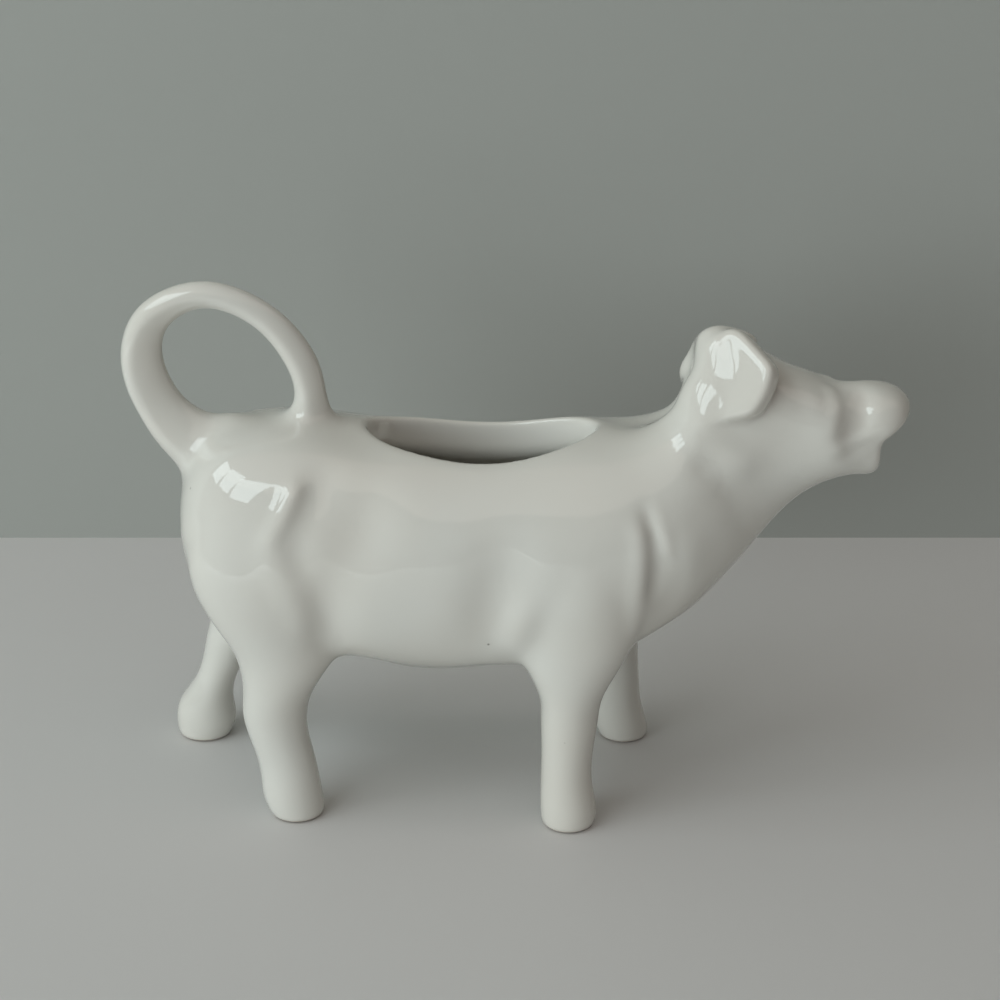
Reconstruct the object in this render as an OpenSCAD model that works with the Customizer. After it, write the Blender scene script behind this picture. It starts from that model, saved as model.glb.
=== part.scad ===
// Cow-shaped cream jug in white glazed porcelain.
// Milk goes in through the opening in the back, the looped tail is the handle,
// and the milk pours out through the neck and the mouth.
// The castings meet at flat joints: one across the neck, one through each leg,
// one across both ends of the tail and one at each ear.
// X runs from tail to nose, Z is up, and the soles stand on Z = 0.

/* [Trunk] */
// Length of the trunk from the rump to the foot of the neck
trunk_length = 123.5; // [112:0.5:130]
// Depth of the trunk from belly to back
trunk_depth = 57; // [52:0.5:60]
// Width of the trunk at its widest
trunk_width = 53; // [48:0.5:56]
// Height of the belly above the table
belly_height = 29.5; // [28:0.5:34]
// Thickness of the porcelain
wall = 3.2; // [2.4:0.1:4]

/* [Filler opening] */
// Length of the opening in the back
opening_length = 51; // [44:0.5:54]
// Width of the opening in the back
opening_width = 26; // [20:0.5:30]
// Distance from the rump to the middle of the opening
opening_place = 67; // [64:0.5:70]

/* [Neck and head] */
// Reach of the nose ahead of the foot of the neck
head_reach = 33.5; // [30:0.5:38]
// Rise of the poll above the foot of the neck
head_rise = 51; // [46:0.5:56]
// Width of the head at the cheeks
head_width = 24.5; // [22:0.5:27]
// Height of the milk passage where it leaves the mouth
mouth_height = 5; // [4:0.25:6]
// Width of the milk passage where it leaves the mouth
mouth_width = 10; // [8:0.5:12]

/* [Ears] */
// Span from one ear tip to the other
ear_span = 38; // [35:0.5:42]
// Breadth of an ear from its front edge to its back edge
ear_breadth = 16; // [14:0.5:18]
// Thickness of an ear
ear_thickness = 4.2; // [3.6:0.1:5]
// Drop of an ear from the poll to its tip
ear_drop = 12; // [11:0.5:14]
// Distance from the middle of the head to the joint of an ear
ear_joint = 12.8; // [12.6:0.1:14]

/* [Tail handle] */
// Length of the tail loop from its back to its front foot
loop_length = 38; // [34:0.5:44]
// Height of the middle of the tail above the back
loop_height = 26.3; // [22:0.5:32]
// Thickness of the tail at its root
tail_root_thickness = 9; // [8:0.25:11]
// Thickness of the tail at the top of the loop
tail_top_thickness = 6; // [5:0.25:8]
// Height of the tail joint above the back
tail_joint_height = 3; // [2.5:0.25:4]

/* [Legs] */
// Height of the joint between each leg and the trunk
leg_joint_height = 25; // [22:0.5:27]
// Breadth of a foot at its sole
foot_breadth = 12.4; // [10.5:0.1:14]
// Distance between the middles of the front feet, across the cow
front_stance = 42.2; // [38:0.2:44]
// Distance between the middles of the rear feet, across the cow
rear_stance = 36.8; // [34:0.2:40]
// Distance from the rump to the middle of the right front sole
right_front_place = 85.3; // [83:0.5:88]
// Distance from the rump to the middle of the left front sole
left_front_place = 97.8; // [95:0.5:100]
// Distance from the rump to the middle of the right rear sole
right_rear_place = 25.6; // [24:0.5:28]
// Distance from the rump to the middle of the left rear sole
left_rear_place = -0.3; // [-1:0.1:2]

/* [Hidden] */

// Colour of the glazed porcelain
glaze_white = [0.93, 0.93, 0.91];

// Points round a body section, a limb and the tail, and steps between stations
body_points = 44;
limb_points = 24;
tail_points = 16;
ear_points = 24;
opening_points = 64;
body_steps = 3;
limb_steps = 2;

// Height of the back, and how far a cut runs past what it cuts
back_height = belly_height + trunk_depth;
overrun = wall;

// Catmull-Rom value of a table of rows at station u
function row_at(rows, u) =
    let(last = len(rows) - 1,
        i = min(floor(u), last - 1),
        t = u - i,
        b = rows[i],
        c = rows[i + 1],
        a = i > 0 ? rows[i - 1] : 2 * b - c,
        d = i + 1 < last ? rows[i + 2] : 2 * c - b)
    b + 0.5 * t * ((c - a) + t * ((2 * a - 5 * b + 4 * c - d) + t * (3 * (b - c) + d - a)));

// Signed power, for sections that are fuller than an ellipse
function spow(value, power) = sign(value) * pow(abs(value), power);

// Part way from one value to another
function between(from, to, share) = from + share * (to - from);

// Closed solid through a list of rings with the same number of points
module skin(rings) {
    n = len(rings[0]);
    last = len(rings) - 1;
    points = [for (ring = rings) each ring];
    sides = [for (k = [0:last - 1], j = [0:n - 1])
        let(a = k * n + j, b = k * n + (j + 1) % n, c = b + n, d = a + n)
        each [[a, b, c], [a, c, d]]];
    start = [for (j = [n - 1:-1:0]) j];
    finish = [for (j = [0:n - 1]) last * n + j];
    polyhedron(points, concat(sides, [start, finish]), convexity = 8);
}

// The side outline is a ladder: each rung joins the outline's top to its bottom.
// Row: top x and z, bottom x and z, half width, place of the widest point up the rung.
// Trunk rows are shares of the trunk's length, depth and half width.
trunk_shares = [
    [0.004, 0.62, 0.006, 0.50, 0.10, 0.50],
    [0.012, 0.75, 0.024, 0.36, 0.46, 0.50],
    [0.036, 0.87, 0.062, 0.235, 0.70, 0.50],
    [0.080, 0.955, 0.112, 0.13, 0.86, 0.49],
    [0.150, 0.995, 0.180, 0.05, 0.95, 0.48],
    [0.265, 1.005, 0.285, 0.03, 0.985, 0.47],
    [0.410, 0.970, 0.440, 0.01, 1.00, 0.46],
    [0.580, 0.955, 0.610, 0.025, 1.00, 0.46],
    [0.715, 0.985, 0.765, 0.07, 0.96, 0.47],
    [0.800, 1.005, 0.876, 0.205, 0.85, 0.49],
    [0.861, 1.075, 0.972, 0.425, 0.66, 0.51],
];

// Head rows are shares of the head's reach, rise and half width,
// measured from the foot of the neck.
head_shares = [
    [-0.427, 0.843, 0.035, 0.105, 1.15, 0.50],
    [-0.330, 0.985, 0.165, 0.215, 1.02, 0.50],
    [-0.165, 1.010, 0.290, 0.302, 0.98, 0.50],
    [0.012, 0.951, 0.400, 0.355, 0.96, 0.50],
    [0.185, 0.880, 0.504, 0.390, 0.95, 0.51],
    [0.340, 0.843, 0.588, 0.408, 0.92, 0.53],
    [0.484, 0.806, 0.663, 0.412, 0.80, 0.55],
    [0.624, 0.810, 0.728, 0.410, 0.71, 0.55],
    [0.773, 0.806, 0.788, 0.423, 0.69, 0.55],
    [0.893, 0.785, 0.839, 0.463, 0.62, 0.55],
    [0.967, 0.745, 0.893, 0.525, 0.45, 0.55],
    [0.990, 0.702, 0.952, 0.600, 0.18, 0.53],
];

// Foot of the neck: its height is a share of the trunk's depth
neck_height_share = 0.43;
neck_x = trunk_length;
neck_z = belly_height + neck_height_share * trunk_depth;

trunk_rungs = [for (s = trunk_shares)
    [s[0] * trunk_length, belly_height + s[1] * trunk_depth,
     s[2] * trunk_length, belly_height + s[3] * trunk_depth,
     s[4] * trunk_width / 2, s[5]]];
head_rungs = [for (s = head_shares)
    [neck_x + s[0] * head_reach, neck_z + s[1] * head_rise,
     neck_x + s[2] * head_reach, neck_z + s[3] * head_rise,
     s[4] * head_width / 2, s[5]]];
rungs = concat(trunk_rungs, head_rungs);
neck_station = len(trunk_rungs) - 1;
nose_station = len(rungs) - 1;

// A rung drawn in by the wall on every side
function drawn_in(rung, inset) =
    let(top = [rung[0], rung[1]],
        bottom = [rung[2], rung[3]],
        along = (top - bottom) / norm(top - bottom),
        high = top - inset * along,
        low = bottom + inset * along)
    [high[0], high[1], low[0], low[1], rung[4] - inset, rung[5]];

// Ring of points on a rung
fullness = 0.94;
function rung_ring(rung) =
    let(top = [rung[0], 0, rung[1]],
        bottom = [rung[2], 0, rung[3]],
        middle = bottom + rung[5] * (top - bottom))
    [for (j = [0:body_points - 1])
        let(a = 360 * j / body_points,
            rise = cos(a),
            side = sin(a),
            reach = rise > 0 ? top - middle : middle - bottom)
        middle + spow(rise, fullness) * reach + [0, spow(side, fullness) * rung[4], 0]];

module body_loft(from, to, inset = 0) {
    skin([for (k = [round(from * body_steps):round(to * body_steps)])
        rung_ring(drawn_in(row_at(rungs, k / body_steps), inset))]);
}

// Heights of the limb sections: shares of the leg up to its joint,
// then shares of the way from the joint to the hip.
leg_height_shares = [0, 0.05, 0.18, 0.36, 0.56, 0.78, 1];
hip_height_shares = [0.13, 0.29, 0.47, 0.72, 1];
hip_top_share = 0.72;
hip_height = belly_height + hip_top_share * trunk_depth;
limb_heights = concat(
    [for (s = leg_height_shares) s * leg_joint_height],
    [for (s = hip_height_shares) between(leg_joint_height, hip_height, s)]);
joint_row = len(leg_height_shares) - 1;

// Length and width of each limb section, as shares of the breadth of a foot
front_size_shares = [
    [0.87, 0.87], [0.95, 0.95], [0.98, 0.98], [0.92, 0.92], [0.89, 0.9], [0.93, 0.93], [1, 1],
    [1.15, 1.12], [1.7, 1.25], [1.9, 1.3], [1.55, 1.25], [0.8, 0.6],
];
right_rear_size_shares = [
    [0.9, 0.89], [0.98, 0.98], [1.05, 1.02], [1.03, 0.97], [1.02, 0.93], [1.06, 0.97], [1.14, 1.05],
    [1.32, 1.18], [1.85, 1.3], [2.1, 1.4], [2.1, 1.3], [1.2, 0.6],
];
left_rear_size_shares = [
    [0.95, 0.9], [1.02, 0.98], [1.12, 1.04], [1, 0.97], [0.78, 0.84], [0.8, 0.86], [0.96, 1],
    [1.2, 1.15], [1.6, 1.3], [2.05, 1.4], [2.1, 1.3], [1.2, 0.6],
];

// Way of each section from the foot's place to the hip's place
right_front_lean_shares = [0, 0, -0.02, -0.14, -0.18, -0.1, 0, 0.1, 0.25, 0.6, 0.9, 1];
left_front_lean_shares = [0, 0, 0.09, 0.17, 0.2, 0.26, 0.33, 0.38, 0.6, 0.85, 1, 1];
right_rear_lean_shares = [0, 0, 0.1, 0.17, 0.28, 0.46, 0.53, 0.4, 0.35, 0.8, 1, 1];
left_rear_lean_shares = [0, 0, 0.02, 0.04, 0.15, 0.28, 0.4, 0.55, 0.72, 0.95, 1, 1];

// Middle of the shoulder and of the thigh, as shares of the trunk's length,
// and how far a hip stands in from the trunk's side, as a share of a foot's breadth
shoulder_share = 0.715;
thigh_share = 0.145;
hip_inset_share = 0.72;
shoulder_place = shoulder_share * trunk_length;
thigh_place = thigh_share * trunk_length;
hip_reach = trunk_width / 2 - hip_inset_share * foot_breadth;

// Sections of one limb: x, y, z, half length and half width
function limb_rows(place, hip_place, stance, lean_shares, size_shares) =
    [for (i = [0:len(limb_heights) - 1])
        let(z = limb_heights[i],
            length = size_shares[i][0] * foot_breadth / 2,
            width = size_shares[i][1] * foot_breadth / 2,
            y = between(stance / 2, hip_reach, min(1, z / hip_height)))
        [between(place, hip_place, lean_shares[i]), y, z, length, width]];

front_right_rows = limb_rows(right_front_place, shoulder_place, front_stance,
    right_front_lean_shares, front_size_shares);
front_left_rows = limb_rows(left_front_place, shoulder_place, front_stance,
    left_front_lean_shares, front_size_shares);
rear_right_rows = limb_rows(right_rear_place, thigh_place, rear_stance,
    right_rear_lean_shares, right_rear_size_shares);
rear_left_rows = limb_rows(left_rear_place, thigh_place, rear_stance,
    left_rear_lean_shares, left_rear_size_shares);

function limb_ring(row, side) =
    [for (j = [0:limb_points - 1])
        let(a = 360 * j / limb_points)
        [row[0] + row[3] * cos(a), side * row[1] - row[4] * sin(a), row[2]]];

module limb(rows, side, from, to) {
    skin([for (k = [from * limb_steps:to * limb_steps])
        limb_ring(row_at(rows, k / limb_steps), side)]);
}

module lower_leg(rows, side) {
    color(glaze_white) limb(rows, side, 0, joint_row);
}

module hip(rows, side) {
    limb(rows, side, joint_row, len(rows) - 1);
}

// Middle line of the tail: shares of the loop's length and height,
// then its thickness as a share of the way from the top's to the root's.
tail_shares = [
    [0.45, -0.475, 1.8],
    [0.32, -0.30, 2.2],
    [0.19, -0.12, 1.9],
    [0.098, 0.057, 1.4],
    [0.03, 0.266, 1.2],
    [0.003, 0.494, 1],
    [0.037, 0.715, 0.72],
    [0.133, 0.878, 0.38],
    [0.272, 0.977, 0.1],
    [0.42, 0.996, 0],
    [0.58, 0.924, 0],
    [0.728, 0.783, 0.1],
    [0.837, 0.60, 0.25],
    [0.908, 0.407, 0.38],
    [0.94, 0.228, 0.55],
    [0.948, 0.057, 1.1],
    [0.94, -0.114, 1.8],
];
tail_back_share = -0.053;
tail_back = tail_back_share * trunk_length;
tail_joint_z = back_height + tail_joint_height;
tail_rows = [for (s = tail_shares)
    [tail_back + s[0] * loop_length, back_height + s[1] * loop_height,
     between(tail_top_thickness, tail_root_thickness, s[2]) / 2]];

// Part of a station between the two points that give the tail's direction
direction_step = 0.1;
function tail_ring(u) =
    let(row = row_at(tail_rows, u),
        ahead = row_at(tail_rows, min(u + direction_step, len(tail_rows) - 1)),
        behind = row_at(tail_rows, max(u - direction_step, 0)),
        way = [ahead[0] - behind[0], ahead[1] - behind[1]],
        across = [-way[1], way[0]] / norm(way))
    [for (j = [0:tail_points - 1])
        let(a = 360 * j / tail_points)
        [row[0] + across[0] * row[2] * cos(a), row[2] * sin(a), row[1] + across[1] * row[2] * cos(a)]];

module tail_tube() {
    skin([for (k = [0:(len(tail_rows) - 1) * limb_steps]) tail_ring(k / limb_steps)]);
}

// Everything above the tail joint, or below it
module beside_tail_joint(above) {
    reach = 2 * loop_length;
    translate([tail_back - reach / 2, -reach / 2, above ? tail_joint_z : tail_joint_z - reach])
        cube([reach, reach, reach]);
}

// Ear sections from the middle of the head outwards. Row: way out to the joint or,
// past it, from the joint to the tip; then place ahead of the poll, half breadth,
// drop and thickness, as shares of the ear's breadth, breadth, drop and thickness.
ear_root_shares = [
    [0, 0.02, 0.32, 0, 0.9],
    [0.4, 0.09, 0.47, 0.14, 1],
    [0.75, 0.07, 0.52, 0.42, 1],
    [1, 0.01, 0.5, 0.65, 1],
];
ear_flap_shares = [
    [0.35, -0.03, 0.46, 0.82, 1],
    [0.65, -0.06, 0.39, 0.93, 1],
    [0.88, -0.08, 0.27, 0.985, 0.85],
    [1, -0.09, 0.12, 1, 0.4],
];
poll_back_share = 0.19;
poll_height_share = 0.985;
poll_x = neck_x - poll_back_share * head_reach;
poll_z = neck_z + poll_height_share * head_rise;
// Upright thickness of a flap that slopes down at about 40 degrees
ear_slope_factor = 1.35;

function ear_row(y, s) =
    [y, poll_x + s[1] * ear_breadth, poll_z - s[3] * ear_drop,
     s[2] * ear_breadth, s[4] * ear_thickness * ear_slope_factor / 2];
ear_rows = concat(
    [for (s = ear_root_shares) ear_row(s[0] * ear_joint, s)],
    [for (s = ear_flap_shares) ear_row(between(ear_joint, ear_span / 2, s[0]), s)]);
ear_joint_row = len(ear_root_shares) - 1;

function ear_ring(row, side) =
    [for (j = [0:ear_points - 1])
        let(a = side * 360 * j / ear_points)
        [row[1] + row[3] * spow(cos(a), fullness), side * row[0], row[2] + row[4] * sin(a)]];

module ear(side, from, to) {
    skin([for (k = [from * limb_steps:to * limb_steps])
        ear_ring(row_at(ear_rows, k / limb_steps), side)]);
}

// Plan of the filler opening, cut straight down through the back
module opening_cut() {
    translate([opening_place, 0, belly_height + trunk_depth / 2])
        linear_extrude(height = trunk_depth)
            scale([opening_length / opening_width, 1])
                circle(d = opening_width, $fn = opening_points);
}

// Stations along the body where the hollow of the trunk starts, where the hollow
// of the head ends, and where the milk passage leaves it
cavity_start = 2;
head_cavity_end = neck_station + 3.5;
passage_station = neck_station + 2.6;

// Milk passage from the hollow of the head out through the mouth.
// Row of shares: reach and rise of its middle from the foot of the neck,
// half height and half width of the mouth.
passage_shares = [
    [0.45, 0.6, 1.6, 1],
    [0.75, 0.52, 1, 1],
    [1, 0.48, 1.1, 1.1],
];
passage_start = row_at(rungs, passage_station);
// Row: x and z of its middle, half height and half width
passage_rows = [
    [(passage_start[0] + passage_start[2]) / 2, (passage_start[1] + passage_start[3]) / 2,
     mouth_height, mouth_width / 2],
    for (s = passage_shares)
        [neck_x + s[0] * head_reach + (s[0] < 1 ? 0 : overrun), neck_z + s[1] * head_rise,
         s[2] * mouth_height / 2, s[3] * mouth_width / 2],
];
function passage_ring(row) =
    [for (j = [0:limb_points - 1])
        let(a = 360 * j / limb_points)
        [row[0], row[3] * sin(a), row[1] + row[2] * cos(a)]];
module milk_passage() {
    skin([for (k = [0:(len(passage_rows) - 1) * body_steps])
        passage_ring(row_at(passage_rows, k / body_steps))]);
}

// Corner of the mouth, then the lower and upper lip at the front,
// as shares of the head's reach and rise
mouth_corner_shares = [0.5, 0.535];
lip_height_shares = [0.455, 0.6];
mouth_front = neck_x + head_reach + overrun;
module mouth_cut() {
    rotate([90, 0, 0])
        linear_extrude(height = 2 * head_width, center = true)
            polygon([
                [neck_x + mouth_corner_shares[0] * head_reach,
                 neck_z + mouth_corner_shares[1] * head_rise],
                for (s = lip_height_shares) [mouth_front, neck_z + s * head_rise],
            ]);
}

// Whole part, with the middle of its length over the origin
tail_back_row = 5;
loop_back_x = tail_rows[tail_back_row][0] - tail_rows[tail_back_row][2];
nose_x = rungs[nose_station][0];
centre_x = (loop_back_x + nose_x) / 2;
module placed() {
    translate([-centre_x, 0, 0]) children();
}

module trunk_shell() {
    color(glaze_white) placed() difference() {
        union() {
            body_loft(0, neck_station);
            hip(front_left_rows, 1);
            hip(front_right_rows, -1);
            hip(rear_left_rows, 1);
            hip(rear_right_rows, -1);
            intersection() {
                tail_tube();
                beside_tail_joint(false);
            }
        }
        body_loft(cavity_start, neck_station + 1, wall);
        opening_cut();
    }
}

module head_shell() {
    color(glaze_white) placed() difference() {
        union() {
            body_loft(neck_station, nose_station);
            ear(1, 0, ear_joint_row);
            ear(-1, 0, ear_joint_row);
        }
        body_loft(neck_station - 1, head_cavity_end, wall);
        milk_passage();
        mouth_cut();
    }
}

module tail_handle() {
    color(glaze_white) placed() intersection() {
        tail_tube();
        beside_tail_joint(true);
    }
}

module left_ear() {
    color(glaze_white) placed() ear(1, ear_joint_row, len(ear_rows) - 1);
}

module right_ear() {
    color(glaze_white) placed() ear(-1, ear_joint_row, len(ear_rows) - 1);
}

module front_left_leg() {
    placed() lower_leg(front_left_rows, 1);
}

module front_right_leg() {
    placed() lower_leg(front_right_rows, -1);
}

module rear_left_leg() {
    placed() lower_leg(rear_left_rows, 1);
}

module rear_right_leg() {
    placed() lower_leg(rear_right_rows, -1);
}

trunk_shell();
head_shell();
tail_handle();
left_ear();
right_ear();
front_left_leg();
front_right_leg();
rear_left_leg();
rear_right_leg();
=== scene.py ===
import math
import bmesh
import bpy
import numpy as np
import openvdb as vdb
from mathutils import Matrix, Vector


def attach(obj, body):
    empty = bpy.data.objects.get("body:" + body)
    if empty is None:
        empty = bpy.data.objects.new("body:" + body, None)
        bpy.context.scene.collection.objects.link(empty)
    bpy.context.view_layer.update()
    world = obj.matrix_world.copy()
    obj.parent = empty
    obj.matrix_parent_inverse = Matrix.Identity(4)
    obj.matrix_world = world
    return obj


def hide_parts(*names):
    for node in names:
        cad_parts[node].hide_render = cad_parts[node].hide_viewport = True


# A porcelain cow creamer. The whole glazed skin is modelled as one smooth distance
# field in millimetres, drawn out as a mesh, then cut at the joints of the castings.

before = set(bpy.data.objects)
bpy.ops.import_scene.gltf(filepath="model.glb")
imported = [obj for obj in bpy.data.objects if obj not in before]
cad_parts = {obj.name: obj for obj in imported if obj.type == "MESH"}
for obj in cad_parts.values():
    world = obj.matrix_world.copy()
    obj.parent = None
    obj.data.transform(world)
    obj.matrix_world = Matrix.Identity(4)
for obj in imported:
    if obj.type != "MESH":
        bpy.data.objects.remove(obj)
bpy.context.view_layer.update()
MM = 0.001

# Driving sizes in millimetres, as in the part's source; the shift, roll, collar and flare of the
# opening are the scene's own
trunk_length = 123.5
trunk_depth = 57.0
trunk_width = 53.0
belly_height = 29.5
wall = 3.2
opening_length = 51.0
opening_width = 26.0
opening_place = 67.0
opening_shift = -1.4
lip_roll = 0.95
collar_depth = 6.0
opening_flare = 3.6
head_reach = 33.5
head_rise = 51.0
head_width = 24.5
ear_span = 38.0
ear_breadth = 16.0
ear_thickness = 4.2
ear_drop = 12.0
ear_joint = 12.8
loop_length = 38.0
loop_height = 26.3
tail_root_thickness = 9.0
tail_top_thickness = 6.0
tail_joint_height = 3.0
leg_joint_height = 25.0
foot_breadth = 12.4
front_stance = 42.2
rear_stance = 36.8
right_front_place = 85.3
left_front_place = 97.8
right_rear_place = 25.6
left_rear_place = -0.3
fullness = 0.94

# Shares of those sizes, as in the part's source
neck_rise_share = 0.43
tail_back_share = -0.053
hip_rise_share = 0.72
hip_inset_share = 0.72
shoulder_share = 0.715
thigh_share = 0.145
poll_back_share = 0.19
poll_rise_share = 0.985

back_height = belly_height + trunk_depth
neck_x = trunk_length
neck_z = belly_height + neck_rise_share * trunk_depth
tail_back = tail_back_share * trunk_length
hip_height = belly_height + hip_rise_share * trunk_depth
shoulder_place = shoulder_share * trunk_length
thigh_place = thigh_share * trunk_length
poll_x = neck_x - poll_back_share * head_reach
poll_z = neck_z + poll_rise_share * head_rise
# Middle of the part's box, from the rear end of the trunk
centre_x = 72.842

# Rungs of the side outline: top x and z, bottom x and z, half width, widest place
trunk_shares = np.array([
    [0.004, 0.62, 0.006, 0.50, 0.10, 0.50],
    [0.012, 0.75, 0.024, 0.36, 0.46, 0.50],
    [0.036, 0.87, 0.062, 0.235, 0.70, 0.50],
    [0.080, 0.955, 0.112, 0.13, 0.86, 0.49],
    [0.150, 0.995, 0.180, 0.05, 0.95, 0.48],
    [0.265, 1.005, 0.285, 0.03, 0.985, 0.47],
    [0.410, 0.970, 0.440, 0.01, 1.00, 0.46],
    [0.580, 0.955, 0.610, 0.025, 1.00, 0.46],
    [0.715, 0.985, 0.765, 0.07, 0.96, 0.47],
    [0.800, 1.005, 0.876, 0.205, 0.85, 0.49],
    [0.861, 1.075, 0.972, 0.425, 0.66, 0.51],
])
head_shares = np.array([
    [-0.427, 0.843, 0.035, 0.105, 1.15, 0.50],
    [-0.330, 0.985, 0.165, 0.215, 1.02, 0.50],
    [-0.165, 1.010, 0.290, 0.302, 0.98, 0.50],
    [0.012, 0.951, 0.400, 0.355, 0.96, 0.50],
    [0.185, 0.880, 0.504, 0.390, 0.95, 0.51],
    [0.340, 0.843, 0.588, 0.408, 0.92, 0.53],
    [0.484, 0.806, 0.663, 0.412, 0.80, 0.55],
    [0.624, 0.810, 0.728, 0.410, 0.71, 0.55],
    [0.773, 0.806, 0.788, 0.423, 0.69, 0.55],
    [0.893, 0.785, 0.839, 0.463, 0.62, 0.55],
    [0.967, 0.745, 0.893, 0.525, 0.45, 0.55],
    [0.990, 0.702, 0.952, 0.600, 0.18, 0.53],
])
limb_heights = np.concatenate([
    np.array([0, 0.05, 0.18, 0.36, 0.56, 0.78, 1]) * leg_joint_height,
    leg_joint_height + np.array([0.13, 0.29, 0.47, 0.72, 1]) * (hip_height - leg_joint_height),
])
front_size_shares = [
    [0.87, 0.87], [0.95, 0.95], [0.98, 0.98], [0.92, 0.92], [0.89, 0.9], [0.93, 0.93], [1, 1],
    [1.15, 1.12], [1.7, 1.25], [1.9, 1.3], [1.55, 1.25], [0.8, 0.6],
]
right_rear_size_shares = [
    [0.9, 0.89], [0.98, 0.98], [1.05, 1.02], [1.03, 0.97], [1.02, 0.93], [1.06, 0.97], [1.14, 1.05],
    [1.32, 1.18], [1.85, 1.3], [2.1, 1.4], [2.1, 1.3], [1.2, 0.6],
]
left_rear_size_shares = [
    [0.95, 0.9], [1.02, 0.98], [1.12, 1.04], [1, 0.97], [0.78, 0.84], [0.8, 0.86], [0.96, 1],
    [1.2, 1.15], [1.6, 1.3], [2.05, 1.4], [2.1, 1.3], [1.2, 0.6],
]
# Each limb: place of its sole, place of its hip, stance, side, lean shares, size shares
limbs = {
    "front_right_leg": (right_front_place, shoulder_place, front_stance, -1,
                        [0, 0, -0.02, -0.14, -0.18, -0.1, 0, 0.1, 0.25, 0.6, 0.9, 1],
                        front_size_shares),
    "front_left_leg": (left_front_place, shoulder_place, front_stance, 1,
                       [0, 0, 0.09, 0.17, 0.2, 0.26, 0.33, 0.38, 0.6, 0.85, 1, 1],
                       front_size_shares),
    "rear_right_leg": (right_rear_place, thigh_place, rear_stance, -1,
                       [0, 0, 0.1, 0.17, 0.28, 0.46, 0.53, 0.4, 0.35, 0.8, 1, 1],
                       right_rear_size_shares),
    "rear_left_leg": (left_rear_place, thigh_place, rear_stance, 1,
                      [0, 0, 0.02, 0.04, 0.15, 0.28, 0.4, 0.55, 0.72, 0.95, 1, 1],
                      left_rear_size_shares),
}
tail_shares = np.array([
    [0.45, -0.475, 1.8], [0.32, -0.30, 2.2], [0.19, -0.12, 1.9], [0.098, 0.057, 1.4],
    [0.03, 0.266, 1.2], [0.003, 0.494, 1], [0.037, 0.715, 0.72], [0.133, 0.878, 0.38],
    [0.272, 0.977, 0.1], [0.42, 0.996, 0], [0.58, 0.924, 0], [0.728, 0.783, 0.1],
    [0.837, 0.60, 0.25], [0.908, 0.407, 0.38], [0.94, 0.228, 0.55], [0.948, 0.057, 1.1],
    [0.94, -0.114, 1.8],
])
# The tail's two sides meet in a soft ridge, nearer its outer edge at the rear
tail_ridge_power = 1.6
tail_ridge_places = np.array([[0.2], [0.45], [0.45], [0.1], [-0.25], [-0.3], [-0.1]])
ear_root_shares = np.array([
    [0, 0.02, 0.32, 0, 0.9],
    [0.4, 0.09, 0.47, 0.14, 1],
    [0.75, 0.07, 0.52, 0.42, 1],
    [1, 0.01, 0.5, 0.65, 1],
])
ear_flap_shares = np.array([
    [0.35, -0.03, 0.46, 0.82, 1],
    [0.65, -0.06, 0.39, 0.93, 1],
    [0.88, -0.08, 0.27, 0.985, 0.85],
    [1, -0.09, 0.12, 1, 0.4],
])
ear_slope_factor = 1.35
# The left ear's back edge is carried back, in and down into the neck, more so further out
ear_merging = (1.0, 0.1, 3.0)
ear_merging_limit = 1.2
ear_front = 51.0
# The right ear is a thick flat leaf that runs into the neck behind: a point of its face, the way
# the face looks, and its outline on the face, along the top edge and up
leaf_place = (39.9, -1.0, 106.6)
leaf_facing = (-0.53, -0.70, 0.45)
leaf_outline = [
    (3.0, 0.4), (7.6, -0.4), (15.6, -9.6), (14.9, -13.8), (12.0, -18.4), (9.2, -20.6), (4.6, -20.0),
    (-2.0, -20.4), (-6.4, -19.4), (-8.0, -16.5), (-7.4, -13.0), (-3.4, -9.0),
]
leaf_thickness = 5.0
leaf_rounding = 2.4
leaf_bend = 0.09
mouth_height = 5.0
mouth_width = 10.0
passage_shares = [[0.45, 0.6, 1.6, 1], [0.75, 0.55, 1, 1], [1, 0.53, 1.0, 1.1]]
passage_overrun = 1.0
lip_place = (77.6, 84.3)
lip_slope = (4.4, 3.0)

# Fillets of the unions in millimetres. A limb's is the first number up to the first height, and
# hip_fillet from the second height up. The ears' grow toward the back; the leaf's extra fades out
# going up.
limb_fillets = {"front": (5.0, 40.0, 60.0), "rear": (7.0, 57.0, 72.0)}
hip_fillet = 2.5
tail_fillet = 6.0
ear_fillet = 2.2
left_ear_back_fillet = 5.0
leaf_back_fillet = 8.0
ear_back_start, ear_back_end = 45.0, 36.0
leaf_back_low, leaf_back_high = 92.0, 100.0

# Hollow: the least wall under the modelled skin; stations past the neck at which the hollow ends
# and the passage starts; depths over which the opening flares, heights over which its collar
# thickens, and how far from the edge the collar fades
least_wall = 2.0
least_wall_rounding = 1.5
hollow_end_station = 3.5
hollow_end_rounding = 3.0
flare_start, flare_end = 1.0, 13.0
prism_rounding = 1.0
collar_low, collar_high = 50.0, 70.0
collar_reach = 9.0
opening_fillet = 7.0
passage_start_station = 2.6

# Roundings of the cut edges in millimetres, and passes of softening over the skin
mouth_rounding = 1.5
mouth_edge = 2.0
opening_edge = 1.8
passage_edge = 1.3
sole_edge = 0.5
skin_softening = 2

# Fineness of the lofts: steps per station (in all, for the passage) and points around
body_steps, body_around = 22, 224
limb_steps, limb_around = 12, 96
tail_steps, tail_around = 14, 80
ear_steps, ear_around = 16, 120
passage_steps, passage_around = 30, 40

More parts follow.
